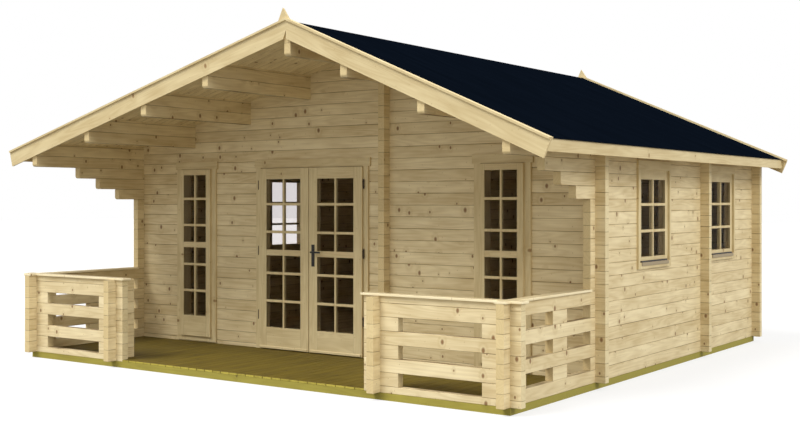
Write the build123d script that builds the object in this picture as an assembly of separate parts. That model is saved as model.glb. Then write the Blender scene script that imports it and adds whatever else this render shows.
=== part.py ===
from build123d import *
import math
import os

# A log cabin with an open terrace under a deep front roof. X runs to the right as seen from the
# terrace, Y towards the back and Z up, in millimetres. The origin is on the ground, at the middle
# of the rectangle that the whole cabin covers.

# Logs
course = 114.0  # height of one log
log = 70.0  # thickness of a log wall
log_end = 95.0  # how far a log runs past a crossing
groove = 4.0  # depth and half height of the V at a log joint
end_groove = 2.0  # the same on the ends of the logs
round_end = 28.0  # radius under the end of a corbel or purlin

# Plan, from outer face to outer face of the logs
width = 5760.0
depth = 5725.0  # terrace rail to rear wall
terrace = 1485.0  # terrace rail to front wall
rear_room = 1580.0  # the right rear room inside, from its cross wall to the rear wall
partition = 645.0  # the long inner wall, to the right of the middle

# Foundation, deck and floor
bearer_height = 60.0
bearer = 70.0
joist = 45.0
deck_joists = 2
floor_joists = 7
board = 18.0  # deck and floor boards

# Roof
eave_courses = 19.0
ridge_courses = 27.5
left_purlins = (21, 23, 25)  # courses up to the top of each purlin
right_purlins = (22, 25)
purlin_courses = 2
ridge_purlin_foot = 25
roof_board = 19.0
felt = 4.0
eave_overhang = 300.0  # wall face to the outer face of the eave fascia
fascia = 18.0
fascia_height = 102.0
felt_drip = 10.0
barge = 20.0
barge_height = 167.0  # with its cap
barge_overhang = 355.0  # wall face to the upper end of a barge board
barge_cap = 18.0
cap_front = 14.0  # cap past the face of the barge board
cap_back = 30.0  # cap over the felt
joint_offset = 39.0  # ridge line to the joint of the two barge boards, along the top
finial_width = 112.0
finial_height = 93.0
finial_offset = 36.0  # ridge line to the finial's tip

# Corbels that step out under the eaves
corbel_foot = 14
corbel_count = 3
corbel_step = 277.0

# Terrace rails
rail_courses = 7
rail_openings = 3
entry_half = 1580.0  # middle of the cabin to the inner face of an entry post
post_back = 165.0  # entry post behind the rail
rail_block = 182.0  # log left solid beside a crossing
front_rail_opening_end = 250.0  # corner face to the opening
side_openings = ((249.0, 699.0), (948.0, None))  # the last one ends at the cabin's log ends
rail_cap = 20.0
cap_side = 20.0
cap_end = 25.0

# Double door
door_x = -312.0
leaf_width = 680.0
leaf_gap = 9.0
leaf_thickness = 56.0
leaf_lift = 8.0  # leaf over the deck
lip = 18.0  # thickness of the edge of a leaf that lies in front of the frame
lip_lap = 15.0  # how far this edge reaches over the frame
lip_play = 5.0  # between it and the trim boards
jamb_gap = 6.0
jamb = 49.5
head_gap = 6.0
head_board = 84.0  # head of the door frame
head_courses = 17.5  # top of the door and tall window openings
stile = 107.0
door_mid = 1097.0  # middle of the mid rail
mid_rail = 60.0
glass_up = 770.0  # middle of the mid rail to the top of the glass
glass_down = 786.0
glass = 4.0
glass_depth = 16.0  # face of a leaf or tall sash to the middle of its glass
hinge_heights = (438.0, 1113.0, 1807.0)
hinge_length = 96.0
hinge_radius = 7.0
hinge_offset = 12.0  # edge of a leaf to the line of its hinges
hinge_gap = 5.0  # barrel to the trim board
hinge_pin = 4.0  # radius of the pins into the leaf and the frame
hinge_play = 0.3  # between the upper and the lower knuckle
plate_width = 40.0
plate_bottom = 968.0
plate_top = 1192.0
plate = 3.0
spindle_height = 1115.0
spindle = 4.0  # radius
spindle_gap = 0.5
neck = 8.0  # radius
neck_length = 42.0
lever_length = 118.0
lever_height = 18.0
lever_depth = 12.0
handle_gap = 0.3

# Trim boards round the doors and windows
trim = 20.0
door_trim_width = 67.5
head_trim_lift = 6.0  # over the top of the leaves
head_trim_width = 84.0
head_trim_end = 22.0  # head board past the side boards

# Tall windows beside the door
tall_x = (-1950.0, 1956.0)
tall_foot_courses = 0.5
tall_frame = 37.0  # frame seen beside the sash
tall_sash = 468.0
tall_sash_bottom = 144.0
tall_head = 73.0  # frame over the sash
tall_stile = 63.0
tall_mid = 1154.0
tall_lap = 9.0  # sash over the trim boards
tall_trim_width = 73.0
tall_trim_bottom = 90.0

# Windows in the side walls
right_window_shift = (-20.0, -240.0)  # from the middle of its room towards the rear
left_window_shift = 385.0
side_frame = 32.5  # frame seen beside the sash
side_frame_foot = 30.0
side_frame_head = 35.0
side_sash = 708.0
right_sash_bottom = 1075.0
right_sash_height = 835.0
left_sash_bottom = 1026.0
left_sash_height = 922.0
side_stile = 66.0
side_foot_rail = 35.0
side_glass_depth = 24.0
sash_line = 4.0  # the open line round the sash
side_trim_gap = 4.0  # sash to the trim
side_trim_width = 36.0
side_trim_foot = 75.0  # sash down to the lower edge of the trim
side_head_gap = 25.0  # sash to the head trim
side_head_width = 85.0
sill_height = 14.0
sill_reach = 16.0
sill_length = 620.0

# Inner doorways
doorway = 760.0
doorway_courses = 17

# Sizes that follow from these
deck_top = bearer_height + board
half = width / 2
whole_depth = log_end + depth + log_end + barge + cap_front
front = log_end - whole_depth / 2  # front face of the terrace rail
back = front + depth
wall_front = front + terrace
wall_inside = wall_front + log
rear_inside = back - log
cross_front = rear_inside - rear_room - log
left_middle = (wall_inside + rear_inside) / 2
room_middles = ((wall_inside + cross_front) / 2, (cross_front + log + rear_inside) / 2)
roof_back = back + log_end
stub_front = wall_front - log_end


def level(courses):
    """Height of a log joint of the side walls above the ground."""
    return bearer_height + courses * course


eave_z = level(eave_courses)
ridge_z = level(ridge_courses)
left_slope = (ridge_z - eave_z) / (partition + half)
right_slope = (ridge_z - eave_z) / (half - partition)
left_angle = math.atan(left_slope)
right_angle = math.atan(right_slope)


head_z = level(head_courses)
leaf_bottom = deck_top + leaf_lift
head_bottom = head_z - head_board
leaf_top = head_bottom - head_gap + lip_lap
leaf_edge = leaf_gap / 2 + leaf_width
jamb_in = leaf_edge - lip_lap + jamb_gap
door_half = jamb_in + jamb
door_trim_out = jamb_in + door_trim_width
sash_proud = trim + lip_play + lip
head_trim_bottom = leaf_top + head_trim_lift
head_trim_top = head_trim_bottom + head_trim_width
tall_half = tall_sash / 2 + tall_frame
tall_sash_top = head_z - tall_head
tall_trim_in = tall_sash / 2 - tall_lap
side_half = side_sash / 2 + side_frame
side_trim_in = side_sash / 2 + side_trim_gap
right_windows = [(middle + shift, right_sash_bottom, right_sash_height)
                 for middle, shift in zip(room_middles, right_window_shift)]
left_windows = [(left_middle + left_window_shift, left_sash_bottom, left_sash_height)]


def block(x0, x1, y0, y1, z0, z1):
    return Pos((x0 + x1) / 2, (y0 + y1) / 2, (z0 + z1) / 2) * Box(x1 - x0, y1 - y0, z1 - z0)


def along_x(points, x0, x1):
    """Extrude an outline of (y, z) points from x0 to x1."""
    face = make_face(Plane.YZ.offset(x0) * Polyline(*points, close=True))
    return extrude(face, x1 - x0, dir=(1, 0, 0))


def along_y(points, y0, y1):
    """Extrude an outline of (x, z) points from y0 to y1."""
    face = make_face(Plane.XZ.offset(-y1) * Polyline(*points, close=True))
    return extrude(face, y1 - y0, dir=(0, -1, 0))


def solid_list(shapes):
    return [s for shape in shapes for s in shape.solids()]


def joined(shapes):
    """Fuse shapes that carry each other into one solid."""
    return shapes[0].fuse(*shapes[1:]).clean() if len(shapes) > 1 else shapes[0]


def cut(shape, tools):
    return shape.cut(*tools) if tools else shape


def mirrored(shape):
    return mirror(shape, about=Plane.YZ)


nodes = {}


def add(name, shapes):
    shapes = shapes if isinstance(shapes, (list, tuple)) else [shapes]
    nodes[name] = solid_list(shapes)


def joints_between(z0, z1, offset):
    """Log joints strictly between two heights. The logs along X lie half a course higher."""
    first = math.ceil((z0 - bearer_height) / course - offset + 0.01)
    last = math.floor((z1 - bearer_height) / course - offset - 0.01)
    return [bearer_height + (k + offset) * course for k in range(first, last + 1)]


def notched(a0, a1, z0, z1, joints, size):
    """Outline between a0 and a1 with a V of the given size at each joint, on both sides."""
    points = [(a0 + size, z0), (a1 - size, z0), (a1, z0 + size)]
    for z in joints:
        points += [(a1, z - size), (a1 - size, z), (a1, z + size)]
    points += [(a1, z1 - size), (a1 - size, z1), (a0 + size, z1), (a0, z1 - size)]
    for z in reversed(joints):
        points += [(a0, z + size), (a0 + size, z), (a0, z - size)]
    return points + [(a0, z0 + size)]


def logs_x(x0, x1, y0, z0, z1):
    """Stack of logs that run along X."""
    joints = joints_between(z0, z1, 0.5)
    faces = along_x(notched(y0, y0 + log, z0, z1, joints, groove), x0, x1)
    ends = along_y(notched(x0, x1, z0, z1, joints, end_groove), y0, y0 + log)
    return faces & ends


def logs_y(x0, y0, y1, z0, z1):
    """Stack of logs that run along Y."""
    joints = joints_between(z0, z1, 0)
    faces = along_y(notched(x0, x0 + log, z0, z1, joints, groove), y0, y1)
    ends = along_x(notched(y0, y1, z0, z1, joints, end_groove), x0, x0 + log)
    return faces & ends


def under_roof(shape):
    """Cut a shape off at the underside of the roof boards."""
    far = 2 * half
    sky = ridge_z + half
    outline = [
        (partition, ridge_z),
        (far, eave_z - right_slope * (far - half)),
        (far, sky),
        (-far, sky),
        (-far, eave_z - left_slope * (far - half)),
    ]
    return shape - along_y(outline, front - half, back + half)


def rounded_foot(shape, x0, x1, y, z, towards):
    """Round the lower edge of a log's end at (y, z). The log lies towards +1 or -1 along Y."""
    centre = y + towards * round_end
    corner = block(x0, x1, min(y, centre), max(y, centre), z, z + round_end)
    bar = Pos((x0 + x1) / 2, centre, z + round_end) * Rot(0, 90, 0) * Cylinder(round_end, x1 - x0)
    return shape - (corner - bar)


# ---------------------------------------------------------------- foundation, deck and floor


def spaced(y0, y1, count, size):
    gap = (y1 - y0 - count * size) / (count + 1)
    return [y0 + gap + k * (gap + size) for k in range(count)]


def foundation():
    inner = half - bearer
    bars = [
        block(-half, half, front, front + bearer, 0, bearer_height),
        block(-half, half, back - bearer, back, 0, bearer_height),
        block(-half, -inner, front, back, 0, bearer_height),
        block(inner, half, front, back, 0, bearer_height),
        block(-half, half, wall_front, wall_front + bearer, 0, bearer_height),
        block(partition, half, cross_front, cross_front + bearer, 0, bearer_height),
        block(partition - bearer / 2, partition + bearer / 2, wall_front, back, 0, bearer_height),
    ]
    rows = spaced(front + bearer, wall_front, deck_joists, joist)
    rows += spaced(wall_front + bearer, back - bearer, floor_joists, joist)
    bars += [block(-half, half, y, y + joist, 0, bearer_height) for y in rows]
    return joined(bars)


def deck():
    post = [
        block(side * entry_half, side * (entry_half + log), front + log, front + log + post_back,
              0, level(1))
        if side > 0
        else block(-entry_half - log, -entry_half, front + log, front + log + post_back,
                   0, level(1))
        for side in (1, -1)
    ]
    top = deck_top
    inner = half - log
    entry = entry_half - log_end
    slab = joined([
        block(-inner, inner, front + log, wall_front, bearer_height, top),
        block(-entry, entry, front, wall_front, bearer_height, top),
    ])
    post.append(block(partition - log / 2, partition + log / 2, stub_front, wall_front, 0, level(1)))
    return cut(slab, post)


def floor():
    top = deck_top
    inner = half - log
    side = log / 2
    left = block(-inner, partition - side, wall_inside, rear_inside, bearer_height, top)
    stub = block(partition - side - log_end, partition, cross_front, cross_front + log, 0, top)
    right_front = block(partition + side, inner, wall_inside, cross_front, bearer_height, top)
    right_back = block(partition + side, inner, cross_front + log, rear_inside, bearer_height, top)
    doorways = [
        block(partition - side, partition + side, y - doorway / 2, y + doorway / 2,
              bearer_height, top)
        for y in room_middles
    ]
    return joined([cut(left, [stub]), right_front, right_back, *doorways])


add("foundation_bearers", foundation())
add("terrace_deck", deck())
add("cabin_floor", floor())


# ---------------------------------------------------------------- purlins


def purlin_box(x0, foot):
    return logs_y(x0, front, roof_back, level(foot), ridge_z + course)


def purlin_place(top, slope, side):
    """Outer face of a purlin whose outer edge meets the roof at a given course."""
    return side * (half - (top - eave_courses) * course / slope)


purlin_places = [(purlin_place(n, left_slope, -1), n) for n in left_purlins]
purlin_places += [(purlin_place(n, right_slope, 1) - log, n) for n in right_purlins]


def purlin(x0, foot):
    shape = under_roof(purlin_box(x0, foot))
    for y, towards in ((front, 1), (roof_back, -1)):
        shape = rounded_foot(shape, x0, x0 + log, y, level(foot), towards)
    return shape


purlins = [purlin(x, n - purlin_courses) for x, n in purlin_places]
ridge_purlin = purlin(partition - log / 2, ridge_purlin_foot)
add("purlins", purlins)
add("ridge_purlin", ridge_purlin)


def purlin_pockets():
    """Where the purlins pass through the walls that run along X."""
    pockets = [
        block(x, x + log, front, roof_back, level(n - purlin_courses), ridge_z + course)
        for x, n in purlin_places
    ]
    pockets.append(
        block(partition - log / 2, partition + log / 2, front, roof_back,
              level(ridge_purlin_foot), ridge_z + course)
    )
    return pockets


pockets = purlin_pockets()


# ---------------------------------------------------------------- walls

reach = half + log_end
wall_top = ridge_z + course
door_left = door_x - door_half
door_right = door_x + door_half


def tall_hole(x):
    return block(x - tall_half, x + tall_half, wall_front, wall_inside,
                 level(tall_foot_courses), head_z)


def full_wall(x0, x1, y):
    return under_roof(logs_x(x0, x1, y, bearer_height, wall_top))


def part_of(shape, x0, x1, z0, z1):
    return shape & block(x0, x1, front, roof_back, z0, z1)


front_whole = cut(full_wall(-reach, reach, wall_front), pockets + [tall_hole(x) for x in tall_x])
add("front_wall_left", part_of(front_whole, -reach, door_left, 0, head_z))
add("front_wall_right", part_of(front_whole, door_right, reach, 0, head_z))
add("front_gable", part_of(front_whole, -reach, reach, head_z, wall_top))
add("rear_wall", cut(full_wall(-reach, reach, rear_inside), pockets))
add("cross_wall", cut(full_wall(partition - log / 2 - log_end, reach, cross_front), pockets))


def side_hole(x0, y, bottom, height):
    return block(x0, x0 + log, y - side_half, y + side_half,
                 bottom - side_frame_foot, bottom + height + side_frame_head)


def corbels(x0):
    """The log ends in front of the cabin, the corbels over them and the two logs at the eave."""
    shapes = [logs_y(x0, stub_front, wall_front, bearer_height, level(corbel_foot))]
    top = corbel_foot + corbel_count
    ends = [(corbel_foot + k, 1, stub_front - (k + 1) * corbel_step) for k in range(corbel_count)]
    ends.append((top, eave_courses - top + 1, front))
    for course_number, courses, end in ends:
        z0, z1 = level(course_number), level(course_number + courses)
        stick = under_roof(logs_y(x0, end, wall_front, z0, z1))
        shapes.append(rounded_foot(stick, x0, x0 + log, end, z0, 1))
    return shapes


def side_wall(x0, crossings, windows):
    stretches = list(zip([wall_inside] + [y + log for y in crossings], crossings + [rear_inside]))
    runs = [under_roof(logs_y(x0, y0, y1, bearer_height, wall_top)) for y0, y1 in stretches]
    holes = [side_hole(x0, *place) for place in windows]
    shapes = corbels(x0) + [cut(run, holes) for run in runs]
    shapes.append(under_roof(logs_y(x0, back, roof_back, bearer_height, wall_top)))
    return shapes


add("side_wall_left", side_wall(-half, [], left_windows))
add("side_wall_right", side_wall(half - log, [cross_front], right_windows))

partition_x = partition - log / 2
doorway_z = level(doorway_courses)
partition_z = level(ridge_purlin_foot)


def partition_low():
    edges = [wall_inside]
    for y, crossing in zip(room_middles, (cross_front, rear_inside)):
        edges += [y - doorway / 2, y + doorway / 2, crossing, crossing + log]
    runs = list(zip(edges[0::2], edges[1::2]))[:4]
    shapes = [logs_y(partition_x, y0, y1, bearer_height, doorway_z) for y0, y1 in runs]
    for y0, y1 in ((stub_front, wall_front), (back, roof_back)):
        shapes.append(logs_y(partition_x, y0, y1, bearer_height, partition_z))
    return shapes


add("partition_wall", partition_low())
add("partition_top", [
    logs_y(partition_x, wall_inside, cross_front, doorway_z, partition_z),
    logs_y(partition_x, cross_front + log, rear_inside, doorway_z, partition_z),
])


# ---------------------------------------------------------------- roof


def roof_line(side, rise, overhang):
    """Ends of the line that lies rise above the roof boards' underside, square to the slope."""
    slope = right_slope if side > 0 else left_slope
    angle = right_angle if side > 0 else left_angle
    lift = rise / math.cos(angle)
    eave = (side * (half + overhang), eave_z - slope * overhang + lift)
    return eave, (partition, ridge_z + lift)


def roof_sheet(side, low, high, overhang, y0, y1):
    """A sheet on one slope, from low to high above the underside, cut upright at both edges."""
    outer_low, ridge_low = roof_line(side, low, overhang)
    outer_high, ridge_high = roof_line(side, high, overhang)
    return along_y([outer_low, ridge_low, ridge_high, outer_high], y0, y1)


def eave_fascia(side):
    x0, x1 = eave_overhang - fascia, eave_overhang
    (xi, zi), _ = roof_line(side, roof_board, x0)
    (xo, zo), _ = roof_line(side, roof_board, x1)
    return along_y([(xi, zo - fascia_height), (xo, zo - fascia_height), (xo, zo), (xi, zi)],
                   front, roof_back)


for name, side in (("left", -1), ("right", 1)):
    deck_end = eave_overhang - fascia
    surface = roof_board + felt
    add(f"roof_boards_{name}", roof_sheet(side, 0, roof_board, deck_end, front, roof_back))
    add(f"roof_felt_{name}", roof_sheet(side, roof_board, surface, eave_overhang + felt_drip,
                                        front, roof_back))
    add(f"eave_fascia_{name}", eave_fascia(side))

cap_low = roof_board + felt
cap_high = cap_low + barge_cap
barge_low = cap_high - barge_height


def barge_strip(side, low, high, y0, y1):
    """One slope's strip of barge board or cap, with its lower end cut square to the slope."""
    angle = right_angle if side > 0 else left_angle
    (ex, ez), (rx, rz) = roof_line(side, high, barge_overhang)
    drop = high - low
    foot = (ex - side * drop * math.sin(angle), ez - drop * math.cos(angle))
    _, (_, ridge_low) = roof_line(side, low, barge_overhang)
    return along_y([(ex, ez), (rx, rz), (rx, ridge_low), foot], y0, y1)


def past_joint(y0, y1):
    """The space to the right of the joint where the right board ends square against the left."""
    _, (_, top) = roof_line(1, cap_high, barge_overhang)
    x, z = partition + joint_offset, top - right_slope * joint_offset
    along = Vector(math.cos(right_angle), -math.sin(right_angle))
    across = Vector(math.sin(right_angle), math.cos(right_angle))
    corner = Vector(x, z)
    points = [corner + across * course, corner - across * 3 * course]
    points += [points[1] + along * width, points[0] + along * width]
    return along_y([(p.X, p.Y) for p in points], y0, y1)


def gable_trim(outward, face):
    """Barge boards, caps and the pointed finial of one gable, as a left and a right piece."""
    y0, y1 = sorted((face, face + outward * barge))
    c0, c1 = sorted((face - outward * cap_back, face + outward * (barge + cap_front)))
    left = joined([
        barge_strip(-1, barge_low, cap_low, y0, y1),
        barge_strip(-1, cap_low, cap_high, c0, c1),
    ])
    right = joined([
        barge_strip(1, barge_low, cap_low, y0, y1),
        barge_strip(1, cap_low, cap_high, c0, c1),
    ])
    tool = past_joint(front - half, back + half)
    tip_x = partition - finial_offset
    _, (_, top) = roof_line(-1, cap_high, barge_overhang)
    points = [
        (tip_x - finial_width / 2, top - left_slope * (finial_offset + finial_width / 2)),
        (tip_x, top + finial_height),
        (partition + joint_offset, top - right_slope * joint_offset),
        (partition + joint_offset, top - barge_height / 2),
        (tip_x, top - barge_height / 2),
    ]
    head = joined([along_y(points, y0, y1), right & block(
        partition, partition + joint_offset, c0, c1, ridge_z - course, ridge_z + course)])
    left = joined([left, head]) - tool
    return left, right & tool


for name, outward, face in (("front", -1, front), ("rear", 1, roof_back)):
    left, right = gable_trim(outward, face)
    add(f"{name}_barge_left", left)
    add(f"{name}_barge_right", right)


# ---------------------------------------------------------------- terrace rails

rail_z = level(rail_courses)
rail_right = half - log


def rail_logs(stack, openings, first):
    """Logs of a rail, one on another, where every second one is cut away between its blocks."""
    gaps = [first + 2 * k for k in range(rail_openings)]
    edges = [0] + [e for g in gaps for e in (g, g + 1)] + [rail_courses]
    shapes = []
    for low, high in zip(edges[:-1], edges[1:]):
        logs = stack(level(low), level(high))
        shapes.append(cut(logs, openings(level(low), level(high))) if low in gaps else logs)
    return shapes


def front_rail():
    x0, x1 = entry_half + log + rail_block, half - front_rail_opening_end
    return rail_logs(
        lambda z0, z1: logs_x(entry_half - log_end, reach, front, z0, z1),
        lambda z0, z1: [block(x0, x1, front, front + log, z0, z1)],
        0.5,
    )


def entry_post():
    return [
        logs_y(entry_half, front - log_end, front, bearer_height, rail_z),
        logs_y(entry_half, front + log, front + log + post_back, bearer_height, rail_z),
    ]


def side_rail():
    rail = rail_logs(
        lambda z0, z1: logs_y(rail_right, front + log, stub_front, z0, z1),
        lambda z0, z1: [
            block(rail_right, half, front + y0, front + y1 if y1 else stub_front, z0, z1)
            for y0, y1 in side_openings
        ],
        1,
    )
    return rail + [logs_y(rail_right, front - log_end, front, bearer_height, rail_z)]


def cap_boards():
    """Front and side cap boards, mitred where they meet over the corner."""
    top = rail_z + rail_cap
    inner, outer = rail_right - cap_side, half + cap_side
    y0, y1 = front - cap_side, front + log + cap_side
    end = entry_half - log_end - cap_end
    mitre = Plane.XY.offset(rail_z) * make_face(
        Polyline((inner, y1), (outer, y0), (outer, y1), close=True))
    corner = extrude(mitre, rail_cap, dir=(0, 0, 1))
    return [
        block(end, outer, y0, y1, rail_z, top) - corner,
        joined([block(inner, outer, y1, stub_front, rail_z, top), corner]),
    ]


for name, place in (("right", lambda shape: shape), ("left", mirrored)):
    add(f"front_rail_{name}", [place(s) for s in front_rail()])
    add(f"side_rail_{name}", [place(s) for s in side_rail()])

for name, shapes in (("entry_posts", entry_post()), ("rail_caps", cap_boards())):
    add(name, shapes + [mirrored(s) for s in shapes])


# ---------------------------------------------------------------- double door

trim_front = wall_front - trim
leaf_front = wall_front - sash_proud
leaf_back = leaf_front + leaf_thickness
door_glass_width = leaf_width - 2 * stile
hinge_x = leaf_edge + hinge_offset
hinge_y = trim_front - hinge_gap - hinge_radius


def door_frame():
    """Threshold, jambs, head and trim boards, each a board of its own."""
    x = door_half
    sill_top = deck_top
    head = door_trim_out + head_trim_end
    boards = [
        block(-x, x, wall_front, wall_inside, bearer_height, sill_top),
        block(-x, x, wall_front, wall_inside, head_bottom, head_z),
        block(jamb_in, x, wall_front, wall_inside, sill_top, head_bottom),
        block(-x, -jamb_in, wall_front, wall_inside, sill_top, head_bottom),
        block(jamb_in, door_trim_out, trim_front, wall_front, sill_top, head_trim_bottom),
        block(-door_trim_out, -jamb_in, trim_front, wall_front, sill_top, head_trim_bottom),
        block(-head, head, trim_front, wall_front, head_trim_bottom, head_trim_top),
    ]
    return [Pos(door_x, 0, 0) * b for b in boards]


def panes(middle, wide, up, down):
    """Upper and lower glass area either side of a mid rail, as (x0, x1, z0, z1)."""
    x = wide / 2
    return [
        (-x, x, middle + mid_rail / 2, middle + up),
        (-x, x, middle - down, middle - mid_rail / 2),
    ]


def pane_holes(areas, y0, y1):
    return [block(x0, x1, y0, y1, z0, z1) for x0, x1, z0, z1 in areas]


def pane_glass(areas, y):
    return pane_holes(areas, y - glass / 2, y + glass / 2)


door_panes = panes(door_mid, door_glass_width, glass_up, glass_down)
leaf_x = {"left": door_x - (leaf_gap + leaf_width) / 2, "right": door_x + (leaf_gap + leaf_width) / 2}
handle_x = leaf_x["right"] - leaf_width / 2 + stile / 2


def rod(x, z, radius, y0, y1):
    return Pos(x, (y0 + y1) / 2, z) * Rot(90, 0, 0) * Cylinder(radius, y1 - y0)


def leaf(name):
    """Leaf whose face reaches past its body over the frame, at the hinges and at the top."""
    side = 1 if name == "right" else -1
    free, hung = -side * leaf_width / 2, side * leaf_width / 2
    x0, x1 = sorted((free, hung - side * lip_lap))
    shape = joined([
        block(-leaf_width / 2, leaf_width / 2, leaf_front, leaf_front + lip, leaf_bottom, leaf_top),
        block(x0, x1, leaf_front + lip, leaf_back, leaf_bottom, leaf_top - lip_lap),
    ])
    shape = Pos(leaf_x[name], 0, 0) * cut(shape, pane_holes(door_panes, leaf_front, leaf_back))
    if name == "right":
        shape -= rod(handle_x, spindle_height, spindle + spindle_gap, leaf_front, leaf_back)
    return shape


def handle_plates():
    hole = rod(handle_x, spindle_height, spindle + spindle_gap,
               leaf_front - plate, leaf_back + plate)
    x0, x1 = handle_x - plate_width / 2, handle_x + plate_width / 2
    return [
        block(x0, x1, y0, y0 + plate, plate_bottom, plate_top) - hole
        for y0 in (leaf_front - plate, leaf_back)
    ]


def lever():
    """Spindle with a neck and an arm on each side of the leaf, as one moving piece."""
    outside = leaf_front - plate - handle_gap
    inside = leaf_back + plate + handle_gap
    shapes = [rod(handle_x, spindle_height, spindle, outside, inside)]
    for y, towards in ((outside, -1), (inside, 1)):
        y0, y1 = sorted((y, y + towards * neck_length))
        shapes.append(rod(handle_x, spindle_height, neck, y0, y1))
        a0, a1 = sorted((y + towards * (neck_length - lever_depth), y + towards * neck_length))
        shapes.append(block(handle_x, handle_x + lever_length, a0, a1,
                            spindle_height - lever_height / 2, spindle_height + lever_height / 2))
    return joined(shapes)


def hinge(side, z, on_leaf):
    """Half of a lift-off hinge. The leaf's half stands on the frame's half, and each has a pin."""
    length = (hinge_length - hinge_play) / 2
    middle = z + (hinge_play + length) / 2 if on_leaf else z - (hinge_play + length) / 2
    barrel = Pos(side * hinge_x, hinge_y, middle) * Cylinder(hinge_radius, length)
    if on_leaf:
        x = side * (hinge_x - hinge_offset / 2)
        pin = Pos(x, hinge_y, middle) * Rot(0, 90, 0) * Cylinder(hinge_pin, hinge_offset)
    else:
        pin = rod(side * hinge_x, middle, hinge_pin, hinge_y, trim_front)
    return Pos(door_x, 0, 0) * joined([barrel, pin])


add("door_frame", door_frame())
for name, side in (("left", -1), ("right", 1)):
    add(f"door_leaf_{name}", leaf(name))
    sheets = pane_glass(door_panes, leaf_front + glass_depth)
    add(f"door_glass_{name}", [Pos(leaf_x[name], 0, 0) * sheet for sheet in sheets])
    add(f"door_hinges_{name}", [hinge(side, z, True) for z in hinge_heights])
add("frame_hinges", [hinge(side, z, False) for side in (-1, 1) for z in hinge_heights])
add("handle_plates", handle_plates())
add("door_lever", lever())


# ---------------------------------------------------------------- windows


def ring(outer, inner, y0, y1):
    """A frame between two rectangles (x0, x1, z0, z1)."""
    a, b = outer, inner
    return block(a[0], a[1], y0, y1, a[2], a[3]) - block(b[0], b[1], y0, y1, b[2], b[3])


def grown(area, by):
    return area[0] - by, area[1] + by, area[2] - by, area[3] + by


def window(opening, sash, areas, boards):
    """Frame, sash and trim of a window in a wall along X whose face is at y = 0. What the sash
    has in front of the frame is given as slabs (x0, x1, y0, y1, z0, z1)."""
    frame = block(opening[0], opening[1], 0, log, opening[2], opening[3])
    slabs = [block(*slab) for slab in sash]
    slabs += [block(x0, x1, -trim, 0, z0, z1) for x0, x1, z0, z1 in boards]
    return cut(joined([frame] + slabs), pane_holes(areas, -sash_proud, log))


def trim_boards(inner, outer, bottom, sill_top, head_bottom, head_top, head_end):
    return [
        (-outer, -inner, bottom, head_bottom),
        (inner, outer, bottom, head_bottom),
        (-inner, inner, bottom, sill_top),
        (-outer - head_end, outer + head_end, head_bottom, head_top),
    ]


tall_panes = panes(tall_mid, tall_sash - 2 * tall_stile, glass_up, glass_down)
tall_sill_top = tall_sash_bottom + tall_lap
tall_window = window(
    (-tall_half, tall_half, level(tall_foot_courses), head_z),
    [
        (-tall_sash / 2, tall_sash / 2, -sash_proud, -trim, tall_sash_bottom, tall_sash_top),
        (-tall_trim_in, tall_trim_in, -trim, 0, tall_sill_top, tall_sash_top),
    ],
    tall_panes,
    trim_boards(tall_trim_in, tall_trim_in + tall_trim_width, tall_trim_bottom, tall_sill_top,
                head_trim_bottom, head_trim_top, head_trim_end),
)
tall_glass = pane_glass(tall_panes, glass_depth - sash_proud)
add("tall_windows", [Pos(x, wall_front, 0) * tall_window for x in tall_x])
add("tall_window_glass", [Pos(x, wall_front, 0) * sheet for x in tall_x for sheet in tall_glass])


def side_window(bottom, height):
    """The frame with its sash and trim, the sheets of glass and the sill."""
    top = bottom + height
    head = top + side_head_gap
    face = (-side_sash / 2, side_sash / 2, bottom, top)
    pane = (face[0] + side_stile, face[1] - side_stile, bottom + side_foot_rail, top - side_stile)
    frame = window(
        (-side_half, side_half, bottom - side_frame_foot, top + side_frame_head),
        [],
        [pane],
        trim_boards(side_trim_in, side_trim_in + side_trim_width, bottom - side_trim_foot,
                    bottom - sill_height, head, head + side_head_width, 0),
    )
    frame -= ring(grown(face, sash_line), face, 0, sash_line)
    sill = block(-sill_length / 2, sill_length / 2, -sill_reach, 0, bottom - sill_height, bottom)
    return frame, pane_glass([pane], side_glass_depth), sill


def on_right(shape, y):
    return Pos(half, y, 0) * Rot(0, 0, 90) * shape


def on_left(shape, y):
    return Pos(-half, y, 0) * Rot(0, 0, -90) * shape


side_frames, side_sheets, side_sills = [], [], []
for put, places in ((on_right, right_windows), (on_left, left_windows)):
    for y, bottom, height in places:
        frame, sheets, sill = side_window(bottom, height)
        side_frames.append(put(frame, y))
        side_sheets += [put(sheet, y) for sheet in sheets]
        side_sills.append(put(sill, y))
add("side_windows", side_frames)
add("side_window_glass", side_sheets)
add("window_sills", side_sills)


# ---------------------------------------------------------------- files

os.makedirs("parts", exist_ok=True)
for name, solids in nodes.items():
    export_step(Compound(children=solids) if len(solids) > 1 else solids[0],
                os.path.join("parts", f"{name}.step"))
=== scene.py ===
import math

import bmesh
import bpy
from mathutils import Matrix, Vector


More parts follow.
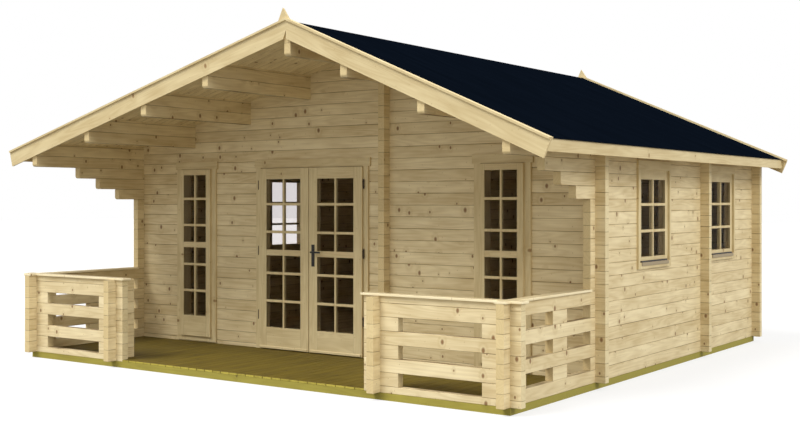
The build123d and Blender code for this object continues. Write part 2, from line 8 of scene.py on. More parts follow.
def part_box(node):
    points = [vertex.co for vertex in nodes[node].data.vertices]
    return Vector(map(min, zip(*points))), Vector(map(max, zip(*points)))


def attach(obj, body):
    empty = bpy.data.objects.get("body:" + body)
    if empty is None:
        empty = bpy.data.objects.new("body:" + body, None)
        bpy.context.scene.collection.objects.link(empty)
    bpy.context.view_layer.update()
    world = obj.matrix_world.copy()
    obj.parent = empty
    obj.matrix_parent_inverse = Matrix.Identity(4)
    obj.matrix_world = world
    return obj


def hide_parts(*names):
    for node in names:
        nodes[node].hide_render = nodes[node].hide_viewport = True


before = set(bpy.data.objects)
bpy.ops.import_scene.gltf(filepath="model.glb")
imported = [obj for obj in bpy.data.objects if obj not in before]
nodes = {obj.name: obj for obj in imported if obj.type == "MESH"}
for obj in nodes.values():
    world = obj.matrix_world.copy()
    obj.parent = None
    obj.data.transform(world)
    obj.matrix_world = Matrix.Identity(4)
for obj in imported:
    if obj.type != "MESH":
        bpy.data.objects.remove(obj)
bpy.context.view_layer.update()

MM = 0.001

# The log walls: one course covers 114 mm, the stacks start on 60 mm bearers, and half the
# width is to the outer face of a side wall
COURSE = 114 * MM
BEARER = 60 * MM
HALF_WIDTH = 2880 * MM

# The roof rises from the side walls to a ridge that lies off the middle
EAVE_COURSES, RIDGE_COURSES = 19, 27.5
RIDGE_X = 645 * MM
RISE = (RIDGE_COURSES - EAVE_COURSES) * COURSE
SLOPE_LEFT = math.atan(RISE / (HALF_WIDTH + RIDGE_X))
SLOPE_RIGHT = math.atan(RISE / (HALF_WIDTH - RIDGE_X))

# Boards and logs: the pitch and the place of one joint. Logs that run from side to side lie
# half a course higher than those that run from front to back.
LOGS_ACROSS = (COURSE, BEARER + COURSE / 2)
LOGS_ALONG = (COURSE, BEARER)
LINING = (96 * MM, 12 * MM)
FLOOR = (121 * MM, 31 * MM)
DECK = (103 * MM, 1386 * MM)
ONE_BOARD = (40.0, 1.0)  # so wide that a piece is one board

# Doors and windows of the front wall: the middles and half the width of a pane
LEAF_MIDDLES, LEAF_PANE = (-0.6565, 0.0325), 0.233
TALL_MIDDLES, TALL_PANE = (-1.95, 1.956), 0.171
LEAF_RAIL, TALL_RAIL = 1097 * MM, 1154 * MM  # the height of the lock rail

# Side windows: the wall, 1 for the right and -1 for the left, the middle along it, the foot
# and the head of the pane, and the heights of its level bars
SIDE_WINDOWS = (
    (1, -0.1195, 1.110, 1.844, (1.354, 1.605)),
    (1, 1.7455, 1.110, 1.844, (1.354, 1.605)),
    (-1, 1.1105, 1.061, 1.882, (1.3305, 1.6125)),
)
SIDE_PANE = 0.288

# Joinery, where the wood lies level: the middles and the half width between two stiles, and
# the height of the head over them
NO_HEAD = 5.0
FRAME_RAILS = ((-0.312,), 0.6755, 1.98)
LEAF_RAILS = (LEAF_MIDDLES, LEAF_PANE, NO_HEAD)
TALL_RAILS = (TALL_MIDDLES, TALL_PANE, 1.984)
SIDE_RAILS = (tuple(window[1] for window in SIDE_WINDOWS), SIDE_PANE, 1.932)


# ---------------------------------------------------------------- materials


def colour(code):
    """sRGB hex to linear RGBA."""
    parts = [int(code[i:i + 2], 16) / 255 for i in (1, 3, 5)]
    linear = [c / 12.92 if c <= 0.04045 else ((c + 0.055) / 1.055) ** 2.4 for c in parts]
    return (*linear, 1)


def add(tree, kind, sockets=None, **settings):
    """Add a shader node. settings are its properties and sockets its inputs, each given as a
    value, a socket, or a node that stands for its first output in use. By number, a Math has
    its terms at 0, 1 and 2, a MapRange its four ends at 1 to 4, and a Mix its factor at 0, its
    numbers at 2 and 3 and its colours at 6 and 7."""
    node = tree.nodes.new("ShaderNode" + kind)
    for key, value in settings.items():
        setattr(node, key, value)
    for key, value in (sockets or {}).items():
        if isinstance(value, bpy.types.Node):
            value = next(output for output in value.outputs if output.enabled)
        if isinstance(value, bpy.types.NodeSocket):
            tree.links.new(value, node.inputs[key])
        else:
            node.inputs[key].default_value = value
    return node


def new_material(name, **sockets):
    """A material with values on its shader's own sockets, its tree and that shader."""
    material = bpy.data.materials.new(name)
    material.use_nodes = True
    tree = material.node_tree
    shader = tree.nodes["Principled BSDF"]
    for key, value in sockets.items():
        shader.inputs[key.replace("_", " ")].default_value = value
    return material, tree, shader


# Patterns in softwood, in repeats per metre along, across and through a board
KNOT_CELLS = (8.0, 5.6, 1.0)
FLAMES = (0.9, 9.0, 9.0)
FIBRES = (3.0, 110.0, 110.0)
PATCHES = (2.4, 9.0, 9.0)
# How much each darkens the wood, and how much one board differs from the next
FLAME_SHARE, FIBRE_SHARE, PATCH_SHARE, BOARD_SHARE = 0.16, 0.35, 0.9, 0.25
SPECK, KNOT = 0.012, 0.13  # the least and the greatest radius of a knot in its cell
SEAM_FULL, SEAM_END = 1.4 * MM, 3.4 * MM  # from the middle of the line between two boards
# The grey-brown of the painted shade on faces that look up
TOP_SHADE_TONE = colour("#A8966E")


def turned_rails(tree, along, across, rails):
    """Turn the wood level between the stiles and over the head. Gives the new directions and
    the butt joint of rail and stile, drawn 2 mm wide so that it shows."""
    middles, half, head = rails
    off = None
    for middle in middles:
        other = add(tree, "Math", {0: across, 1: middle}, operation="SUBTRACT")
        other = add(tree, "Math", {0: other}, operation="ABSOLUTE")
        off = other if off is None else add(tree, "Math", {0: off, 1: other},
                                            operation="MINIMUM")
    over = add(tree, "Math", {0: along, 1: head}, operation="GREATER_THAN")
    level = add(tree, "Math", {0: off, 1: half}, operation="LESS_THAN")
    level = add(tree, "Math", {0: level, 1: over}, operation="MAXIMUM")
    joint = add(tree, "Math", {0: off, 1: half, 2: 1 * MM}, operation="COMPARE")
    joint = add(tree, "Math", {0: joint, 1: over}, operation="SUBTRACT", use_clamp=True)
    return (add(tree, "Mix", {0: level, 2: along, 3: across}),
            add(tree, "Mix", {0: level, 2: across, 3: along}), joint)


def knots_in_cells(tree, moved, across, share):
    """Branches that went straight through the board, up to about 35 mm along it and 45 mm
    across, each in a cell of its own. share is the part of the cells that has one, and the rest
    have a speck. Gives the strength of its core, of its pale rim and of the swirl of the grain
    round it."""
    spot = add(tree, "CombineXYZ", {0: moved, 1: across})
    spot = add(tree, "VectorMath", {0: spot, 1: KNOT_CELLS}, operation="MULTIPLY")
    cells = add(tree, "TexVoronoi", {"Vector": spot, "Scale": 1.0}, voronoi_dimensions="2D")
    luck = add(tree, "SeparateColor", {0: cells.outputs["Color"]})
    size = add(tree, "MapRange", {"Value": luck, 1: 1.0 - share, 2: 1.0, 3: SPECK, 4: KNOT})
    away = add(tree, "Math", {0: cells.outputs["Distance"], 1: size}, operation="DIVIDE")
    # how many radii away each has gone, and where it is at its most
    reach = ((1.5, 0.5, 0.85), (2.8, 1.2, 0.4), (4.5, 0.8, 1.0))
    return [add(tree, "MapRange", {"Value": away, 1: gone, 2: full, 3: 0.0, 4: most},
                interpolation_type="SMOOTHSTEP") for gone, full, most in reach]


def end_grain(tree, chance, across, through, sawn, late):
    """The colour of a sawn end, with the growth rings seen end on, some 20 mm apart and so
    coarser than the real 3 mm, so that they show."""
    turned = add(tree, "Math", {0: chance, 1: 7.0}, operation="MULTIPLY")
    face = add(tree, "CombineXYZ", {0: turned, 1: across, 2: through})
    rounds = add(tree, "TexNoise", {"Vector": face, "Scale": 6.0, "Detail": 0.0})
    rounds = add(tree, "Math", {0: rounds, 1: 14.0}, operation="MULTIPLY")
    rounds = add(tree, "Math", {0: rounds, 1: 0.5}, operation="PINGPONG")
    rounds = add(tree, "Math", {0: chance, 1: 0.8, 2: rounds}, operation="MULTIPLY_ADD")
    rounds = add(tree, "MapRange", {"Value": rounds, 1: 0.0, 2: 1.3, 3: 0.0, 4: 0.5})
    return add(tree, "Mix", {0: rounds, 6: sawn, 7: late}, data_type="RGBA")


def softwood(name, order, boards, tones, turn=0.0, knots=0.36, line=0.8, roughness=0.62,
             rails=None, top_shade=0.0):
    """Softwood boards. order says which axes run along, across and through a board, boards are
    their pitch and the place of one joint, and turn tips them along a slope. tones are the
    early wood, the late wood, the knots, the line between two boards and the sawn ends. knots
    is the share of the places for a knot that have one, and line is how dark the line between
    two boards is. The last argument is how far the faces that look up are darkened towards a
    grey-brown, as painted shade. rails are the stretches of joinery where the wood lies level."""
    light, late, knot, seam, sawn = (colour(c) for c in tones)
    pitch, start = boards
    material, tree, shader = new_material(name, Roughness=roughness, IOR=1.4)
    place = add(tree, "TexCoord")
    point, normal = place.outputs["Object"], place.outputs["Normal"]
    if turn:
        point = add(tree, "Mapping", {"Vector": point, "Rotation": (0, turn, 0)})
        normal = add(tree, "Mapping", {"Vector": normal, "Rotation": (0, turn, 0)},
                     vector_type="VECTOR")
    axes = add(tree, "SeparateXYZ", {0: point}).outputs
    along, across, through = (axes["xyz".index(c)] for c in order)
    joint = 0.0
    if rails:
        along, across, joint = turned_rails(tree, along, across, rails)

    # each board is cut from another place in the tree
    count = add(tree, "Math", {0: across, 1: 1 / pitch, 2: -start / pitch},
                operation="MULTIPLY_ADD")
    board = add(tree, "Math", {0: count}, operation="FLOOR")
    chance = add(tree, "TexWhiteNoise", {"W": board}, noise_dimensions="1D")
    moved = add(tree, "Math", {0: chance, 1: 31.0, 2: along}, operation="MULTIPLY_ADD")
    core, rim, swirl = knots_in_cells(tree, moved, across, knots)

    # growth rings: long flames some 20 to 40 mm apart, coarser than the real 3 mm so that they
    # show, and they bend round the knots
    bent = add(tree, "Math", {0: swirl, 1: 9 * MM, 2: across}, operation="MULTIPLY_ADD")
    grain = add(tree, "CombineXYZ", {0: moved, 1: bent, 2: through})
    figure = add(tree, "VectorMath", {0: grain, 1: FLAMES}, operation="MULTIPLY")
    figure = add(tree, "TexNoise", {"Vector": figure, "Scale": 1.0, "Detail": 1.0})
    flames = add(tree, "Math", {0: figure, 1: 8.0}, operation="MULTIPLY")
    flames = add(tree, "Math", {0: flames, 1: 0.5}, operation="PINGPONG")
    flames = add(tree, "MapRange", {"Value": flames, 1: 0.05, 2: 0.5},
                 interpolation_type="SMOOTHSTEP")
    # fibres: streaks 3 to 9 mm wide, coarser than real ones so that they show
    fibres = add(tree, "VectorMath", {0: grain, 1: FIBRES}, operation="MULTIPLY")
    fibres = add(tree, "TexNoise", {"Vector": fibres, "Scale": 1.0, "Detail": 2.0})
    # patches where the plank took the sun or the rain, a hand wide and longer than that
    patch = add(tree, "VectorMath", {0: grain, 1: PATCHES}, operation="MULTIPLY")
    patch = add(tree, "TexNoise", {"Vector": patch, "Scale": 1.0, "Detail": 2.0})
    shade = add(tree, "Math", {0: flames, 1: FLAME_SHARE}, operation="MULTIPLY")
    for part, share in ((fibres, FIBRE_SHARE), (patch, PATCH_SHARE), (chance, BOARD_SHARE)):
        shade = add(tree, "Math", {0: part, 1: share, 2: shade}, operation="MULTIPLY_ADD")
    amount = add(tree, "MapRange", {"Value": shade, 1: 0.5, 2: 1.4})
    tint = add(tree, "Mix", {0: amount, 6: light, 7: late}, data_type="RGBA")
    halo = add(tree, "Math", {0: swirl, 1: 0.5}, operation="MULTIPLY")
    # late wood crowds round the knot, and its rim is pale where the grain turns up
    for share, tone in ((halo, late), (rim, light), (core, knot)):
        tint = add(tree, "Mix", {0: share, 6: tint, 7: tone}, data_type="RGBA")

    # sawn ends, which the joinery doesn't show
    if not rails:
        facing = add(tree, "SeparateXYZ", {0: normal}).outputs["xyz".index(order[0])]
        facing = add(tree, "Math", {0: facing}, operation="ABSOLUTE")
        end = add(tree, "MapRange", {"Value": facing, 1: 0.6, 2: 0.8})
        cut = end_grain(tree, chance, across, through, sawn, late)
        tint = add(tree, "Mix", {0: end, 6: tint, 7: cut}, data_type="RGBA")
    # Painted shade: the faces that look up are darkened towards a grey-brown
    if top_shade:
        up = add(tree, "SeparateXYZ", {0: normal}).outputs[2]
        worn = add(tree, "MapRange", {"Value": up, 1: 0.7, 2: 0.9, 3: 0.0, 4: top_shade})
        tint = add(tree, "Mix", {0: worn, 6: tint, 7: TOP_SHADE_TONE}, data_type="RGBA")

    # the line between two boards, fainter in some places than in others, and 5 mm wide where
    # the real one is 2, so that it shows
    gap = add(tree, "Math", {0: count, 1: 0.5}, operation="PINGPONG")
    gap = add(tree, "Math", {0: gap, 1: pitch}, operation="MULTIPLY")
    faint = add(tree, "MapRange", {"Value": patch, 1: 0.35, 2: 0.65, 3: 0.3 * line, 4: line})
    seams = add(tree, "MapRange", {"Value": gap, 1: SEAM_END, 2: SEAM_FULL, 3: 0.0, 4: faint},
                interpolation_type="SMOOTHSTEP")
    seams = add(tree, "Math", {0: joint, 1: 0.5, 2: seams}, operation="MULTIPLY_ADD")
    tint = add(tree, "Mix", {0: seams, 6: tint, 7: seam}, data_type="RGBA")
    tree.links.new(tint.outputs[2], shader.inputs["Base Color"])
    height = add(tree, "Math", {0: shade, 1: -0.3}, operation="MULTIPLY")
    height = add(tree, "Math", {0: height, 1: seams}, operation="SUBTRACT")
    bump = add(tree, "Bump", {"Height": height, "Strength": 0.25, "Distance": 1 * MM})
    tree.links.new(bump.outputs[0], shader.inputs["Normal"])
    return material


# Planed spruce, unvarnished: pale straw with brown knots, matt
SPRUCE = ("#F2E1B5", "#BFA570", "#7A4F24", "#5E4218", "#E4CE9A")
# The same logs with the ends that stand out of the side walls sawn across, painted paler there
# as painted light
SPRUCE_PAINTED_LIGHT_ENDS = SPRUCE[:4] + ("#EBDBAE",)
# Selected spruce for doors, windows and edge boards: the same tone, calmer
JOINERY = ("#E4D2A3", "#BCA370", "#8D683A", "#6B532C", "#E0CB99")
# The boards on the rails, the palest wood of the cabin
CAPPING = ("#F6E8C2", "#E4D0A0", "#8D683A", "#6B532C", "#F6E8C2")
# Pressure-treated pine: olive green from the copper salts
TREATED = ("#A99D44", "#887C32", "#5F5226", "#4C4620", "#A39845")
# Deck boards, treated, their tops coloured dark as painted shade, with paler ends where they
# were sawn
DECKING_PAINTED_SHADE = ("#6B5A0F", "#493C07", "#3A2D12", "#221B0C", "#C4B44C")

# Planed logs and boards, with a dark line at each joint
logs_across = softwood("planed_spruce_logs_across", "xzy", LOGS_ACROSS, SPRUCE_PAINTED_LIGHT_ENDS)
logs_along = softwood("planed_spruce_logs_along", "yzx", LOGS_ALONG, SPRUCE)
roof_lining = softwood("planed_spruce_roof_boards", "xyz", LINING, SPRUCE)
floor_wood = softwood("planed_spruce_floor", "yxz", FLOOR, SPRUCE)
# Planed joinery: nearly free of knots, upright in the stiles and level in the rails
frame_wood = softwood("planed_spruce_door_frame", "zxy", ONE_BOARD, JOINERY, knots=0.05,
                      rails=FRAME_RAILS)
leaf_wood = softwood("planed_spruce_door_leaves", "zxy", ONE_BOARD, JOINERY, knots=0.06,
                     rails=LEAF_RAILS)
tall_wood = softwood("planed_spruce_tall_windows", "zxy", ONE_BOARD, JOINERY, knots=0.06,
                     rails=TALL_RAILS)
side_wood = softwood("planed_spruce_side_windows", "zyx", ONE_BOARD, JOINERY, knots=0.05,
                     rails=SIDE_RAILS)
bar_wood = softwood("planed_spruce_bars", "zxy", ONE_BOARD, JOINERY, knots=0.0)
side_bar_wood = softwood("planed_spruce_side_bars", "zyx", ONE_BOARD, JOINERY, knots=0.0)
# Planed edge boards, each of one plank, with few knots
level_board = softwood("planed_spruce_level", "xyz", ONE_BOARD, JOINERY, knots=0.08)
eave_board = softwood("planed_spruce_eaves", "yzx", ONE_BOARD, JOINERY, knots=0.08)
barge_left = softwood("planed_spruce_barge_left", "xzy", ONE_BOARD, JOINERY, SLOPE_LEFT, 0.08)
barge_right = softwood("planed_spruce_barge_right", "xzy", ONE_BOARD, JOINERY, -SLOPE_RIGHT,
                       0.08)
# Boards with painted shade on their upper faces, darkened towards a grey-brown
TOP_SHADE_AMOUNT = 0.8
rear_left = softwood("painted_top_shade_spruce_barge_left", "xzy", ONE_BOARD, JOINERY, SLOPE_LEFT, 0.08,
                     top_shade=TOP_SHADE_AMOUNT)
rear_right = softwood("painted_top_shade_spruce_barge_right", "xzy", ONE_BOARD, JOINERY, -SLOPE_RIGHT,
                      0.08, top_shade=TOP_SHADE_AMOUNT)
cap_across = softwood("painted_top_shade_spruce_cap_across", "xyz", ONE_BOARD, CAPPING, knots=0.1,
                      top_shade=TOP_SHADE_AMOUNT)
cap_along = softwood("painted_top_shade_spruce_cap_along", "yxz", ONE_BOARD, CAPPING, knots=0.1,
                     top_shade=TOP_SHADE_AMOUNT)
# Treated wood is rougher to the eye, and the deck's joints are real gaps, not lines
treated = softwood("pressure_treated_pine", "xzy", ONE_BOARD, TREATED, knots=0.1,
                   roughness=0.75)
decking_painted_shade = softwood("pressure_treated_decking_painted_shade", "yxz", DECK, DECKING_PAINTED_SHADE, knots=0.1, line=0.0,
                   roughness=0.7)


def bitumen_felt():
    """Bitumen felt with a mineral face: blue-black, matt, faintly streaked down the slope. Its
    grit is 3 to 6 mm across where the real one is 1, so that it shows."""
    material, tree, shader = new_material("bitumen_roofing_felt", Roughness=0.95,
                                          Specular_IOR_Level=0.0)
    place = add(tree, "TexCoord").outputs["Object"]
    streaks = add(tree, "VectorMath", {0: place, 1: (2.0, 14.0, 2.0)}, operation="MULTIPLY")
    streaks = add(tree, "TexNoise", {"Vector": streaks, "Scale": 1.0, "Detail": 4.0})
    grit = add(tree, "TexNoise", {"Vector": place, "Scale": 160.0, "Detail": 1.0})
    mixed = add(tree, "Math", {0: grit, 1: 0.4, 2: streaks}, operation="MULTIPLY_ADD")
    worn = add(tree, "MapRange", {"Value": mixed, 1: 0.4, 2: 1.0})
    tint = add(tree, "Mix", {0: worn, 6: colour("#050910"), 7: colour("#090F18")},
               data_type="RGBA")
    tree.links.new(tint.outputs[2], shader.inputs["Base Color"])
    bump = add(tree, "Bump", {"Height": grit, "Strength": 0.3, "Distance": 1 * MM})
    tree.links.new(bump.outputs[0], shader.inputs["Normal"])
    return material


def metal(name, code, metallic, roughness):
    """A metal finish with faint wear in its gloss."""
    material, tree, shader = new_material(name, Base_Color=colour(code), Metallic=metallic)
    place = add(tree, "TexCoord").outputs["Object"]
    marks = add(tree, "TexNoise", {"Vector": place, "Scale": 90.0, "Detail": 3.0})
    worn = add(tree, "MapRange", {"Value": marks, 1: 0.3, 2: 0.7, 3: roughness - 0.06,
                                  4: roughness + 0.08})
    tree.links.new(worn.outputs[0], shader.inputs["Roughness"])
    return material


felt = bitumen_felt()
# Browned steel, dull: the hinges read as short dark pins
browned = metal("browned_steel", "#3B2F24", 0.7, 0.5)
# Lacquer over steel: nearly black, a soft gloss
lacquer = metal("dark_lacquered_steel", "#2B2926", 0.6, 0.4)
# Coated aluminium under the sash, matt, coloured nearly black as painted shade of the gap under
# the sash, so that it reads as a dark line
sill_painted_shade = metal("coated_aluminium_painted_shade", "#1B1718", 0.3, 0.5)
# Coated aluminium on the sill's edge: a warm grey, matt
sill_edge = metal("light_coated_aluminium", "#A08F70", 0.0, 0.6)
# Thin clear panes: hardly a reflection, so that the dark room behind shows
glass, _, _ = new_material("float_glass", Base_Color=colour("#EBE8E8"), Roughness=0.0, IOR=1.03,
                           Transmission_Weight=1.0)


def finish(material, *names):
    """Give nodes of the model their material."""
    for name in names:
        mesh = nodes[name].data
        mesh.materials.clear()
        mesh.materials.append(material)


finish(logs_across, "front_wall_left", "front_wall_right", "front_gable", "rear_wall",
       "cross_wall", "front_rail_left", "front_rail_right")
finish(logs_along, "side_wall_left", "side_wall_right", "partition_wall", "partition_top",
       "side_rail_left", "side_rail_right", "entry_posts", "purlins", "ridge_purlin")
finish(roof_lining, "roof_boards_left", "roof_boards_right")
finish(floor_wood, "cabin_floor")
finish(decking_painted_shade, "terrace_deck")
finish(treated, "foundation_bearers")
finish(felt, "roof_felt_left", "roof_felt_right")
finish(eave_board, "eave_fascia_left", "eave_fascia_right")
finish(barge_left, "front_barge_left")
finish(barge_right, "front_barge_right")
finish(rear_left, "rear_barge_left")
finish(rear_right, "rear_barge_right")
finish(cap_across, "rail_caps")
finish(frame_wood, "door_frame")
finish(leaf_wood, "door_leaf_left", "door_leaf_right")
finish(tall_wood, "tall_windows")
finish(side_wood, "side_windows")
finish(glass, "door_glass_left", "door_glass_right", "tall_window_glass", "side_window_glass")
finish(browned, "door_hinges_left", "door_hinges_right", "frame_hinges")
finish(lacquer, "handle_plates", "door_lever")
finish(sill_painted_shade, "window_sills")


# ---------------------------------------------------------------- new pieces


def new_piece(name, bm, material, body):
    """Make a piece that rides on a body, with the given material."""
    mesh = bpy.data.meshes.new(name)
    bm.to_mesh(mesh)
    bm.free()
    mesh.materials.append(material)
    piece = bpy.data.objects.new(name, mesh)
    bpy.context.scene.collection.objects.link(piece)
    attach(piece, body)
    return piece


def put_into(whole, part):
    """Move what one bmesh holds into another."""
    mesh = bpy.data.meshes.new("part")
    part.to_mesh(mesh)
    part.free()
    whole.from_mesh(mesh)
    bpy.data.meshes.remove(mesh)


def block(bm, low, high):
    """A squared length of wood or metal between two corners, to be worked further."""
    low, high = Vector(low), Vector(high)
    verts = bmesh.ops.create_cube(bm, size=1.0)["verts"]
    bmesh.ops.scale(bm, verts=verts, vec=high - low)
    bmesh.ops.translate(bm, verts=verts, vec=(low + high) / 2)
    return verts


def take_off_arris(bm, edges, width):
    bmesh.ops.bevel(bm, geom=list(edges), offset=width, offset_type="OFFSET", segments=1,
                    profile=0.5, affect="EDGES", material=-1)


def sawn_boards(name, node, axis, boards, gap, arris, material):
    """Saw a slab of the model across an axis into boards with open joints and eased edges."""
    slab = bmesh.new()
    slab.from_mesh(nodes[node].data)
    bmesh.ops.remove_doubles(slab, verts=slab.verts, dist=0.05 * MM)
    bmesh.ops.dissolve_limit(slab, angle_limit=0.01, verts=slab.verts, edges=slab.edges)
    low, high = (corner[axis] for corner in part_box(node))
    pitch, joint = boards
    across = Vector((0, 0, 0))
    across[axis] = 1
    sawn = bmesh.new()
    for n in range(math.floor((low - joint) / pitch), math.ceil((high - joint) / pitch)):
        board = slab.copy()
        sides = (joint + n * pitch + gap / 2, joint + (n + 1) * pitch - gap / 2)
        for side, outwards in zip(sides, (-across, across)):
            if low < side < high:
                everything = board.verts[:] + board.edges[:] + board.faces[:]
                bmesh.ops.bisect_plane(board, geom=everything, dist=0.01 * MM,
                                       plane_co=across * side, plane_no=outwards,
                                       clear_outer=True)
                border = [edge for edge in board.edges if edge.is_boundary]
                bmesh.ops.holes_fill(board, edges=border, sides=0)
        sharp = [edge for edge in board.edges if edge.calc_face_angle(0) > 0.5]
        take_off_arris(board, sharp, arris)
        put_into(sawn, board)
    slab.free()
    piece = new_piece(name, sawn, material, "cabin")
    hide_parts(node)


# Open gaps between the deck boards, and tight joints under the roof and in the room
sawn_boards("deck_boards", "terrace_deck", 0, DECK, 4 * MM, 2 * MM, decking_painted_shade)
sawn_boards("floor_boards", "cabin_floor", 0, FLOOR, 0.6 * MM, 1.2 * MM, floor_wood)
for side in ("left", "right"):
    sawn_boards(f"roof_lining_{side}", f"roof_boards_{side}", 1, LINING, 0.6 * MM, 2.5 * MM,
                roof_lining)


# Glazing bars: the width of the upright one and of the level ones, and their eased edges
BAR, RUNG, BAR_ARRIS = 22 * MM, 27 * MM, 4 * MM
# The sash's face, the two sides of the glass and the back of the inner bars: by y in the front
# wall, and by the depth in a side wall
FRONT_FACES = (-1437.5 * MM, -1423.5 * MM, -1419.5 * MM, -1400 * MM)
SIDE_FACES = (0, 22 * MM, 26 * MM, 42 * MM)
# From the middle of a lock rail: its edge, the far ends of the panes and the level bars
RAIL_HALF = 30 * MM
PANE_UP, PANE_DOWN = 770 * MM, 786 * MM
RUNG_NEAR, RUNG_FAR = 217 * MM, 508 * MM


def stick(bm, low, high, show):
    """A bar between two corners with the two long edges on its show side eased. show is the y
    of that side."""
    verts = block(bm, low, high)
    longest = max(range(3), key=lambda k: high[k] - low[k])
    edges = {edge for vert in verts for edge in vert.link_edges
             if all(abs(end.co.y - show) < 0.1 * MM for end in edge.verts)
             and abs(edge.verts[0].co[longest] - edge.verts[1].co[longest]) > 1 * MM}
    take_off_arris(bm, edges, BAR_ARRIS)


def glazing_bars(bm, pane, rungs, show, glass_face):
    """One upright bar and the level ones at the heights in rungs, from the glass to the show
    side. pane is x0, x1, z0, z1."""
    x0, x1, z0, z1 = pane
    middle = (x0 + x1) / 2
    near, far = sorted((show, glass_face))
    stick(bm, (middle - BAR / 2, near, z0), (middle + BAR / 2, far, z1), show)
    for z in rungs:
        for a, b in ((x0, middle - BAR / 2), (middle + BAR / 2, x1)):
            stick(bm, (a, near, z - RUNG / 2), (b, far, z + RUNG / 2), show)


def barred_window(bm, middle, half, panes, faces):
    """The bars in front of the glass and behind it. Each pane is its foot, its head and the
    heights of its level bars, and faces are as in FRONT_FACES."""
    for z0, z1, rungs in panes:
        pane = (middle - half, middle + half, z0, z1)
        glazing_bars(bm, pane, rungs, faces[0], faces[1])
        glazing_bars(bm, pane, rungs, faces[3], faces[2])


def two_panes(rail):
    """The panes over and under a lock rail."""
    return (
        (rail + RAIL_HALF, rail + PANE_UP, (rail + RUNG_NEAR, rail + RUNG_FAR)),
        (rail - PANE_DOWN, rail - RAIL_HALF, (rail - RUNG_NEAR, rail - RUNG_FAR)),
    )


for side, middle in zip(("left", "right"), LEAF_MIDDLES):
    bm = bmesh.new()
    barred_window(bm, middle, LEAF_PANE, two_panes(LEAF_RAIL), FRONT_FACES)
    new_piece(f"door_bars_{side}", bm, bar_wood, f"door_{side}")

bm = bmesh.new()
for middle in TALL_MIDDLES:
    barred_window(bm, middle, TALL_PANE, two_panes(TALL_RAIL), FRONT_FACES)
new_piece("tall_window_bars", bm, bar_wood, "cabin")

# The side windows' bars are made with x along the wall and y into it, and then set in place
bm = bmesh.new()
for wall, y, foot, head, rungs in SIDE_WINDOWS:
    window = bmesh.new()
    barred_window(window, 0, SIDE_PANE, ((foot, head, rungs),), SIDE_FACES)
    seat = Matrix.Translation((wall * HALF_WIDTH, y, 0))
    seat @= Matrix.Rotation(math.radians(wall * 90), 4, "Z")
    bmesh.ops.transform(window, matrix=seat, verts=window.verts)
    put_into(bm, window)
new_piece("side_window_bars", bm, side_bar_wood, "cabin")


def drip_board(name, low, high, body):
    """A weather strip along the foot of a door leaf, its top edge sloped to shed the rain."""
    bm = bmesh.new()
    block(bm, low, high)
    top = [edge for edge in bm.edges if all(
        abs(end.co.y - low[1]) + abs(end.co.z - high[2]) < 0.1 * MM for end in edge.verts)]
    take_off_arris(bm, top, 7 * MM)
    rest = [edge for edge in bm.edges if edge.calc_face_angle(0) > 1.2]
    take_off_arris(bm, rest, 1.5 * MM)
    new_piece(name, bm, level_board, body)


LEAF_FACE = FRONT_FACES[0]
DRIP_FRONT = LEAF_FACE - 10 * MM
DRIP_FOOT, DRIP_TOP = 90 * MM, 116 * MM
for side, x0, x1 in (("left", -0.982, -0.332), ("right", -0.293, 0.358)):
    drip_board(f"drip_board_{side}", (x0, DRIP_FRONT, DRIP_FOOT), (x1, LEAF_FACE, DRIP_TOP),
               f"door_{side}")


def cap_board(name, boards, material):
    """The boards on a terrace rail, on the log ends too, with eased edges."""
    bm = bmesh.new()
    for low, high in boards:
        block(bm, low, high)
    take_off_arris(bm, bm.edges, 2.5 * MM)
    piece = new_piece(name, bm, material, "cabin")
    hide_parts("rail_caps")


# The boards on the rails: where the front and the side ones lie, and where they end at the
# entry, at the log ends and at the front wall
CAP_LOW, CAP_HIGH, CAP_WIDTH = 858 * MM, 878 * MM, 110 * MM
FRONT_CAP_Y, SIDE_CAP_X = (-2.8995, -2.7895), (-2.9, 2.79)
ENTRY_X, LOG_END_X = 1.46, 2.995
LOG_END_Y, WALL_Y = -2.9745, -1.4895
cap_board("front_cap_boards", [
    ((x0, FRONT_CAP_Y[0], CAP_LOW), (x1, FRONT_CAP_Y[1], CAP_HIGH))
    for x0, x1 in ((-LOG_END_X, -ENTRY_X), (ENTRY_X, LOG_END_X))
], cap_across)
cap_board("side_cap_boards", [
    ((x, y0, CAP_LOW), (x + CAP_WIDTH, y1, CAP_HIGH))
    for x in SIDE_CAP_X
    for y0, y1 in ((LOG_END_Y, FRONT_CAP_Y[0]), (FRONT_CAP_Y[1], WALL_Y))
], cap_along)

# The folded front edge of each side sill, over the trim board: its place out from the wall and
# down from the foot of the pane, and its depth and half its length
SILL_NEAR, SILL_FAR = HALF_WIDTH + 20 * MM, HALF_WIDTH + 28 * MM
SILL_DROP, SILL_DEPTH, SILL_HALF = 49 * MM, 32 * MM, 325 * MM
bm = bmesh.new()
for wall, y, foot, _, _ in SIDE_WINDOWS:
    x0, x1 = sorted((wall * SILL_NEAR, wall * SILL_FAR))
    top = foot - SILL_DROP
    block(bm, (x0, y - SILL_HALF, top - SILL_DEPTH), (x1, y + SILL_HALF, top))
take_off_arris(bm, bm.edges, 2 * MM)
new_piece("sill_edges", bm, sill_edge, "cabin")


# ---------------------------------------------------------------- camera, light and ground

# Level, from the front right at the height of the eyes, and the view is shifted down a little
camera_data = bpy.data.cameras.new("camera")
camera_data.lens = 51.62
camera_data.sensor_width = 36.0
camera_data.shift_y = -0.01396
camera_data.clip_end = 200.0
camera = bpy.data.objects.new("camera", camera_data)
camera.location = (7.2368, -10.514, 1.645)
camera.rotation_euler = (math.radians(90), 0, math.radians(35.197))
bpy.context.scene.collection.objects.link(camera)
bpy.context.scene.camera = camera


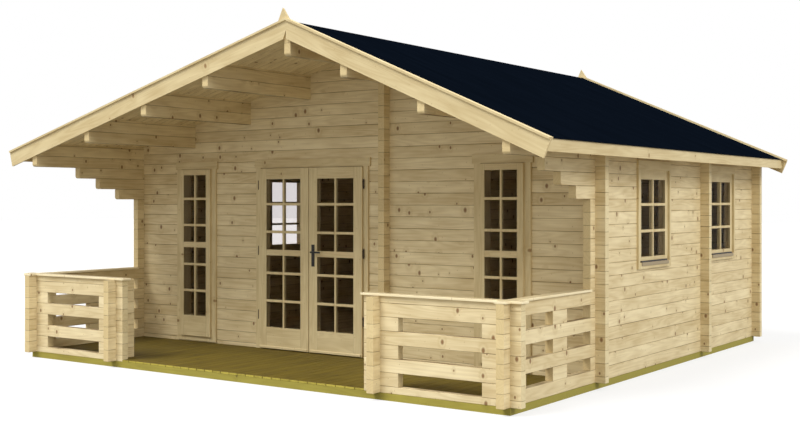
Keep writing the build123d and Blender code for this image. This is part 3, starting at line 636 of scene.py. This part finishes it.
def lamp(name, strength, angle, towards):
    """A large soft lamp far away: angle is how wide it looks, in degrees."""
    data = bpy.data.lights.new(name, "SUN")
    data.energy = strength
    data.angle = math.radians(angle)
    obj = bpy.data.objects.new(name, data)
    obj.rotation_euler = Vector(towards).to_track_quat("-Z", "Y").to_euler()
    bpy.context.scene.collection.objects.link(obj)


# High, from in front and to the left, so that the roof shades the terrace and each log end
# that stands out of the right wall has a shaded side
lamp("soft_key", 2.6, 30, (0.26, 0.5, -0.82))
# Lower, square to the right wall. Under the roof it reaches the right half of the deck.
lamp("soft_side", 1.3, 30, (-0.82, 0.05, -0.57))


def seen_directly(tree):
    """1 where the camera looks at a surface directly, in a reflection or through glass."""
    path = add(tree, "LightPath").outputs
    seen = add(tree, "Math", {0: path["Is Camera Ray"], 1: path["Is Glossy Ray"]},
               operation="MAXIMUM")
    return add(tree, "Math", {0: seen, 1: path["Is Transmission Ray"]}, operation="MAXIMUM")


SKY, BACKDROP = 0.78, 1.0  # the even light from all round, and the white behind the cabin

world = bpy.data.worlds.new("studio")
bpy.context.scene.world = world
world.use_nodes = True
tree = world.node_tree
background = tree.nodes["Background"]
background.inputs["Color"].default_value = (1, 1, 1, 1)
strength = add(tree, "MapRange", {"Value": seen_directly(tree), 3: SKY, 4: BACKDROP})
tree.links.new(strength.outputs[0], background.inputs["Strength"])


def studio_floor():
    """A pale floor that keeps the cabin's shadow and runs into the white background. To the
    light that it sends up under the roof it is a mid grey, so that the terrace stays in
    shade."""
    bm = bmesh.new()
    bmesh.ops.create_grid(bm, x_segments=1, y_segments=1, size=70.0)
    bmesh.ops.translate(bm, verts=bm.verts, vec=(0, 0, -1 * MM))
    mesh = bpy.data.meshes.new("studio_floor")
    bm.to_mesh(mesh)
    bm.free()
    floor = bpy.data.objects.new("studio_floor", mesh)
    bpy.context.scene.collection.objects.link(floor)
    material, tree, shader = new_material("pale_floor", Roughness=0.9, Specular_IOR_Level=0.0)
    seen = seen_directly(tree)
    tint = add(tree, "Mix", {0: seen, 6: colour("#8C8A86"), 7: colour("#F4F4F2")},
               data_type="RGBA")
    tree.links.new(tint.outputs[2], shader.inputs["Base Color"])
    white = add(tree, "Emission", {"Color": (1, 1, 1, 1), "Strength": 1.0})
    amount = add(tree, "Math", {0: seen, 1: 0.7}, operation="MULTIPLY")
    both = add(tree, "MixShader", {0: amount, 1: shader, 2: white})
    tree.links.new(both.outputs[0], tree.nodes["Material Output"].inputs["Surface"])
    mesh.materials.append(material)


studio_floor()
bpy.context.scene.view_settings.view_transform = "Standard"
